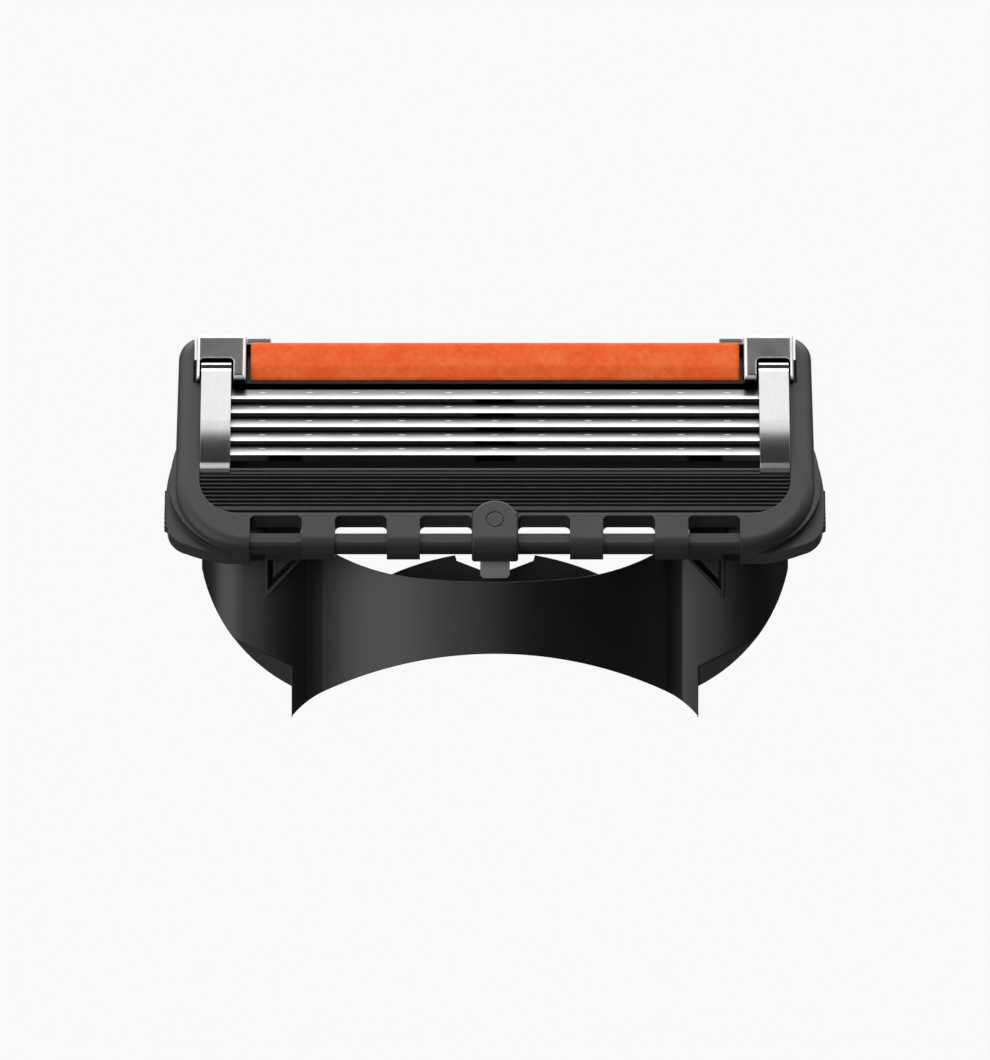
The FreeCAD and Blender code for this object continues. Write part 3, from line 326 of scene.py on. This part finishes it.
def blade_steel():
    """Blades: rolling lines over a dark coating that thins to bright ground steel at the edge, with painted
    shade darkening each blade toward its back.
    """
    material, tree, shader, place = new_material("blade_look")
    lines = tree.noise(stretch(tree, place, (0.25, 18, 18)), scale=1.0, detail=4.0, rough=0.6)
    cloud = tree.noise(stretch(tree, place, (0.4, 1, 1)), scale=1.2, detail=3.0, rough=0.5)
    above = face_place(tree, place, UP_FACE, FACE_V)
    in_pitch = tree.maths("FLOORED_MODULO", above, BLADE_PITCH / MM)
    from_edge = tree.maths("DIVIDE", in_pitch, BLADE_PITCH / MM)
    wander = tree.maths("MULTIPLY", tree.maths("SUBTRACT", cloud, 0.5), BLADE_WANDER)
    # The coating's own tone and painted shade, by place within each blade's pitch.
    shade = tree.ramp(tree.maths("ADD", from_edge, wander), BLADE_STOPS)
    colour = tree.vector_maths("MULTIPLY", shade, tree.greys(lines, low=0.82, high=1.0))
    set_metal(tree, shader, colour, tree.grow(lines, gain=0.1, base=0.3))
    set_bump(tree, shader, lines, distance=0.0015)
    return material


def weld_steel():
    """Spot-weld marks: dull steel with a fine pitted skin, lighter than the coating round them."""
    material, tree, shader, place = new_material("weld_look")
    pits = tree.noise(place, scale=26, detail=3.0, rough=0.6)
    set_metal(tree, shader, tree.greys(pits, low=0.26, high=0.36), tree.grow(pits, gain=0.2, base=0.3))
    set_bump(tree, shader, pits, distance=0.002)
    return material


def support_steel():
    """Blade supports: dark bent strip with fine lines along the blades' direction."""
    material, tree, shader, place = new_material("support_look")
    lines = tree.noise(stretch(tree, place, (0.4, 12, 12)), scale=1.0, detail=3.0, rough=0.6)
    set_metal(tree, shader, tree.greys(lines, low=0.045, high=0.065), tree.grow(lines, gain=0.15, base=0.22))
    set_bump(tree, shader, lines, distance=0.002, edge_radius=0.03)
    return material


# The grain is per millimetre; depths, radii and places are in millimetres.
CONNECTOR = moulded_plastic("connector_look", dark=0.007, light=0.012, rough=0.34,
                            grain=16, grain_depth=0.006, edge_radius=0.08, hollow=11.6)
HOUSING = moulded_plastic("housing_look", dark=0.012, light=0.020, rough=0.40,
                          grain=14, grain_depth=0.008, edge_radius=0.06, deep=(1.3, 2.9))
FINS = moulded_plastic("fin_look", dark=0.007, light=0.011, rough=0.60,
                       grain=12, grain_depth=0.006, edge_radius=0.05)
RIM = moulded_plastic("rim_look", dark=0.022, light=0.031, rough=0.46,
                      grain=12, grain_depth=0.010, edge_radius=0.10)
PAD = moulded_plastic("pad_look", dark=0.24, light=0.31, rough=0.50,
                      grain=12, grain_depth=0.008, edge_radius=0.10)
STRIP = lubricating_polymer()
METALLISED = metallised_plastic()
CLIP = rolled_aluminium()
BLADE = blade_steel()
WELD = weld_steel()
SUPPORT = support_steel()

LOOKS = {
    "connector": CONNECTOR,
    "housing": HOUSING,
    "return_pad": PAD,
    "guard_fins": FINS,
    "frame_overmould": RIM,
    "cap_carrier": METALLISED,
    "lubricating_strip": STRIP,
    "trimmer_blade": BLADE,
    "trimmer_cover": HOUSING,
    "clip_left": CLIP,
    "clip_right": CLIP,
}
for number in BLADES:
    LOOKS[f"blade_{number}"] = BLADE
    LOOKS[f"blade_support_{number}"] = SUPPORT
for name, material in LOOKS.items():
    for slot in frame["nodes"][name].material_slots:
        slot.material = material


# ---------------------------------------------------------------- spot-weld marks on the blades

# Lengths in millimetres; WELD_ALONG goes up the blade from its edge.
WELDS = 11
WELD_PITCH = 3.0
WELD_SEGMENTS = 20
WELD_RINGS = 10
WELD_HALF_LONG = 0.24
WELD_HALF_WIDE = 0.085
WELD_PROUD = 0.02
WELD_ALONG = 0.6
BLADE_LEAN = math.radians(22)
BLADE_HALF_THICK = 0.05


def weld_marks(number):
    """A row of small lens-shaped weld marks on one blade's outer side."""
    mesh = bmesh.new()
    edge = (MIDDLE_BLADE - number) * BLADE_PITCH / MM
    along = UP_FACE * math.cos(BLADE_LEAN) - OUTWARD * math.sin(BLADE_LEAN)
    above = UP_FACE * math.sin(BLADE_LEAN) + OUTWARD * math.cos(BLADE_LEAN)
    for n in range(WELDS):
        across = (n - WELDS // 2) * WELD_PITCH
        middle = on_face(across, edge, 0) + along * WELD_ALONG * MM + above * BLADE_HALF_THICK * MM
        axes = Matrix((ACROSS * WELD_HALF_LONG * MM, along * WELD_HALF_WIDE * MM, above * WELD_PROUD * MM))
        place = Matrix.Translation(middle) @ axes.transposed().to_4x4()
        sphere = {"u_segments": WELD_SEGMENTS, "v_segments": WELD_RINGS, "radius": 1.0}
        bmesh.ops.create_uvsphere(mesh, matrix=place, **sphere)
    data = bpy.data.meshes.new(f"weld_marks_{number}")
    mesh.to_mesh(data)
    mesh.free()
    for polygon in data.polygons:
        polygon.use_smooth = True
    piece = bpy.data.objects.new(f"weld_marks_{number}", data)
    piece.data.materials.append(WELD)
    bpy.context.scene.collection.objects.link(piece)
    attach(piece, f"blade_unit_{number}")


for number in BLADES:
    weld_marks(number)


# ---------------------------------------------------------------- floor, lights, camera

PALE = (*grey(0.947), 1)
FLOOR_HALF_SIZE = 20
FLOOR_Z = -0.045
TARGET = Vector((0, 0, 0.012))
CAMERA_DISTANCE = 0.602
CAMERA_LENS = 315.8
SENSOR_WIDTH = 36
CAMERA_RANGE = (0.01, 50)

# The room's light from straight below (0) to straight above (1).
ROOM_GREYS = {0.0: 0.2, 0.2: 0.2, 0.4: 0.06, 0.5: 0.035, 0.86: 0.035, 0.93: 0.3, 1.0: 1.0}

# Each softbox: azimuth and elevation in degrees, distance, width and height in metres, radiance.
SOFTBOXES = {
    "front_panel": (0, 66, 0.8, 1.6, 0.38, 1.12),
    "front_fill": (-15, 6, 0.9, 0.5, 0.55, 1.1),
    "top_panel": (180, 78, 0.8, 1.4, 0.75, 3.1),
    "left_key": (-50, 5, 0.9, 0.64, 0.7, 2.3),
    "right_rim": (78, 5, 0.9, 0.12, 0.6, 0.25),
    "back_fill": (180, 14, 0.9, 1.0, 0.6, 1.3),
    "left_side": (-100, 32, 0.9, 0.5, 0.5, 1.4),
    "right_side": (100, 32, 0.9, 0.5, 0.5, 1.4),
}


def make_floor():
    """A pale floor far below the part, which only the camera sees."""
    mesh = bmesh.new()
    bmesh.ops.create_grid(mesh, x_segments=1, y_segments=1, size=FLOOR_HALF_SIZE)
    data = bpy.data.meshes.new("floor")
    mesh.to_mesh(data)
    mesh.free()
    floor = bpy.data.objects.new("floor", data)
    floor.location.z = FLOOR_Z
    material = bpy.data.materials.new("floor_look")
    material.use_nodes = True
    tree = Tree(material.node_tree)
    light = tree.node("ShaderNodeEmission", {"Color": PALE, "Strength": 1.0})
    output = material.node_tree.nodes["Material Output"]
    tree.feed(output.inputs["Surface"], light.outputs["Emission"])
    data.materials.append(material)
    bpy.context.scene.collection.objects.link(floor)
    floor.visible_diffuse = False
    floor.visible_glossy = False
    floor.visible_shadow = False
    floor.visible_transmission = False


def make_world():
    """Pale behind the part; as light, a dim room that is brighter overhead and underfoot."""
    world = bpy.data.worlds.new("studio")
    bpy.context.scene.world = world
    world.use_nodes = True
    tree = Tree(world.node_tree)
    for node in list(world.node_tree.nodes):
        world.node_tree.nodes.remove(node)
    place = tree.node("ShaderNodeTexCoord").outputs["Generated"]
    height = tree.node("ShaderNodeSeparateXYZ", {"Vector": place}).outputs["Z"]
    stops = [(place_up, grey(level)) for place_up, level in ROOM_GREYS.items()]
    light = tree.ramp(tree.grow(height, gain=0.5, base=0.5), stops)
    room = tree.node("ShaderNodeBackground", {"Color": light, "Strength": 1.0})
    backdrop = tree.node("ShaderNodeBackground", {"Color": PALE, "Strength": 1.0})
    seen = tree.node("ShaderNodeLightPath").outputs["Is Camera Ray"]
    mix = tree.node("ShaderNodeMixShader", {0: seen, 1: room.outputs[0], 2: backdrop.outputs[0]})
    output = tree.node("ShaderNodeOutputWorld")
    tree.feed(output.inputs["Surface"], mix.outputs[0])


def softbox(name, azimuth, elevation, distance, width, height, radiance):
    """A rectangular light aimed at the part, azimuth 0 in front and positive to the right, in degrees."""
    light = bpy.data.lights.new(name, "AREA")
    light.shape = "RECTANGLE"
    light.size = width
    light.size_y = height
    light.energy = radiance * math.pi * width * height
    piece = bpy.data.objects.new(name, light)
    turn = math.radians(azimuth)
    rise = math.radians(elevation)
    away = Vector((math.sin(turn) * math.cos(rise), -math.cos(turn) * math.cos(rise), math.sin(rise)))
    piece.location = TARGET + away * distance
    piece.rotation_mode = "QUATERNION"
    piece.rotation_quaternion = away.to_track_quat("Z", "Y")
    bpy.context.scene.collection.objects.link(piece)


make_floor()
make_world()
for name, settings in SOFTBOXES.items():
    softbox(name, *settings)

camera = bpy.data.cameras.new("camera")
camera.lens = CAMERA_LENS
camera.sensor_width = SENSOR_WIDTH
camera.clip_start, camera.clip_end = CAMERA_RANGE
camera_piece = bpy.data.objects.new("camera", camera)
camera_piece.location = TARGET - Vector((0, CAMERA_DISTANCE, 0))
camera_piece.rotation_euler = (math.radians(90), 0, 0)
bpy.context.scene.collection.objects.link(camera_piece)
bpy.context.scene.camera = camera_piece
bpy.context.scene.view_settings.view_transform = "Standard"

bpy.context.view_layer.update()
